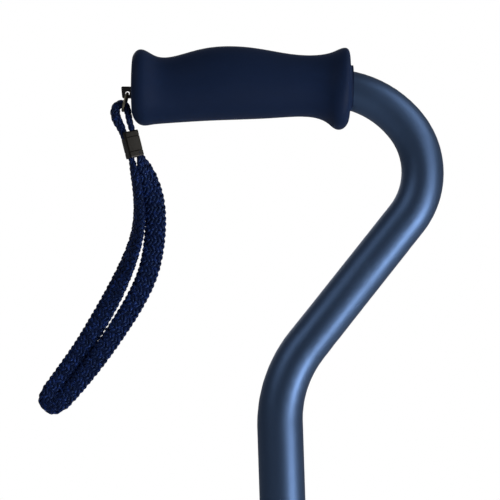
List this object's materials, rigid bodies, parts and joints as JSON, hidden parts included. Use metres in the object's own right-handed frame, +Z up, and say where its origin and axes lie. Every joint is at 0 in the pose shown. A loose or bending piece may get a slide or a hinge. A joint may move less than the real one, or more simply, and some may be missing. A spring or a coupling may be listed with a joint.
{
  "type": "quad walking cane",
  "caption": "Height-adjustable walking cane with an offset handle, soft contoured grip, wrist cord and a spread base on rubber tips.",
  "frame": {"origin": "on the floor, below the centre of the box round the cane without its wrist cord", "axes": "+Z up; the handle lies in the X-Z plane with its bend towards +X and the free end of the grip towards -X"},
  "size_m": [0.2255, 0.204, 0.7357],
  "materials": {
    "anodised_tube": "satin blue anodised",
    "grip_rubber": "matt soft rubber",
    "black_plastic": "moulded",
    "grey_plastic": "moulded",
    "steel_wire": "drawn wire",
    "braided_cord": "braided",
    "crimp_metal": "dark plated",
    "lower_tube_metal": "satin clear anodised",
    "bright_steel": "zinc plated",
    "hub_metal": "powder coated",
    "leg_metal": "powder coated",
    "tip_rubber": "moulded"
  },
  "bodies": {
    "base": {"lower_tube": "lower_tube_metal", "tube_glide": "grey_plastic", "leaf_spring": "bright_steel", "base_hub": "hub_metal", "front_leg_tube": "leg_metal", "rear_leg_tube": "leg_metal", "stem_bolt": "bright_steel", "stem_nut": "bright_steel", "stem_washers": "bright_steel", "leg_screws": "bright_steel", "front_inner_tip": "tip_rubber", "front_outer_tip": "tip_rubber", "rear_inner_tip": "tip_rubber", "rear_outer_tip": "tip_rubber", "front_inner_tip_disc": "bright_steel", "front_outer_tip_disc": "bright_steel", "rear_inner_tip_disc": "bright_steel", "rear_outer_tip_disc": "bright_steel"},
    "handle": {"upper_tube": "anodised_tube", "hand_grip": "grip_rubber", "grip_end_plug": "black_plastic", "collet_sleeve": "black_plastic"},
    "lock_nut": {"lock_nut": "black_plastic"},
    "button": {"snap_button": "bright_steel"},
    "strap_ring": {"strap_ring": "steel_wire"},
    "strap": {"wrist_strap": "braided_cord", "strap_crimp": "crimp_metal"}
  },
  "joints": [
    {"name": "height_adjust", "type": "slide", "parent": "base", "child": "handle", "axis": [0, 0, 1], "range_m": [0, 0.2286]},
    {"name": "button_press", "type": "slide", "parent": "base", "child": "button", "axis": [0, 1, 0], "range_m": [0, 0.005], "stiffness_N_per_m": 1500, "springref_m": -0.002, "deforming": ["leaf_spring"]},
    {"name": "lock_nut_turn", "type": "hinge", "parent": "handle", "child": "lock_nut", "pos_m": [-0.00401, 0.027, 0.173], "axis": [0, 0, 1], "range_deg": [0, 270]},
    {"name": "strap_ring_swing", "type": "hinge", "parent": "handle", "child": "strap_ring", "pos_m": [-0.08247, 0.027, 0.71131], "axis": [0, 1, 0], "range_deg": [0, 75]},
    {"name": "strap_side_swing", "type": "hinge", "parent": "strap_ring", "child": "strap", "pos_m": [-0.0839, 0.027, 0.70663], "axis": [0.9563, 0, -0.2924], "range_deg": [-25, 25]}
  ]
}
